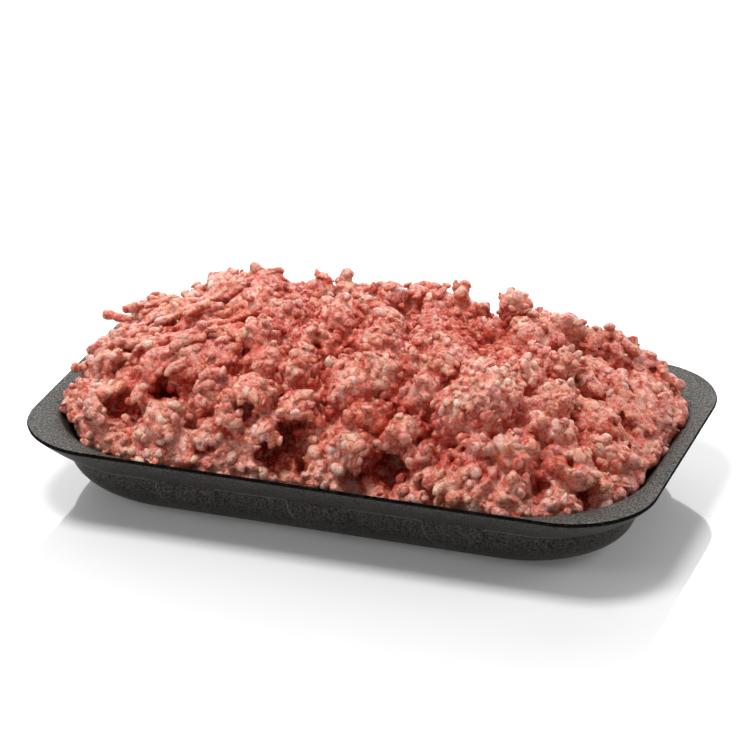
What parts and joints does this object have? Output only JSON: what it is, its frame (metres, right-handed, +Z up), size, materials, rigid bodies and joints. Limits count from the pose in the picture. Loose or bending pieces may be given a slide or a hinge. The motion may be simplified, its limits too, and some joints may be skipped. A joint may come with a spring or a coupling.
{
  "type": "meat tray pack",
  "caption": "Shallow rounded rectangular foam tray with a thin flanged rim, heaped high with coarse raw minced meat.",
  "frame": {"origin": "centre of the tray's underside, on the surface that the pack stands on", "axes": "+X along the tray's long side, +Y across it away from the front wall, +Z up"},
  "size_m": [0.225, 0.137, 0.0685],
  "materials": {
    "black_foam": "expanded foam, fine speckle, satin skin",
    "mince": "raw coarse minced meat, moist, lean red crumbs with pale fat crumbs"
  },
  "bodies": {
    "root": {"tray": "black_foam", "mince": "mince"}
  },
  "joints": []
}
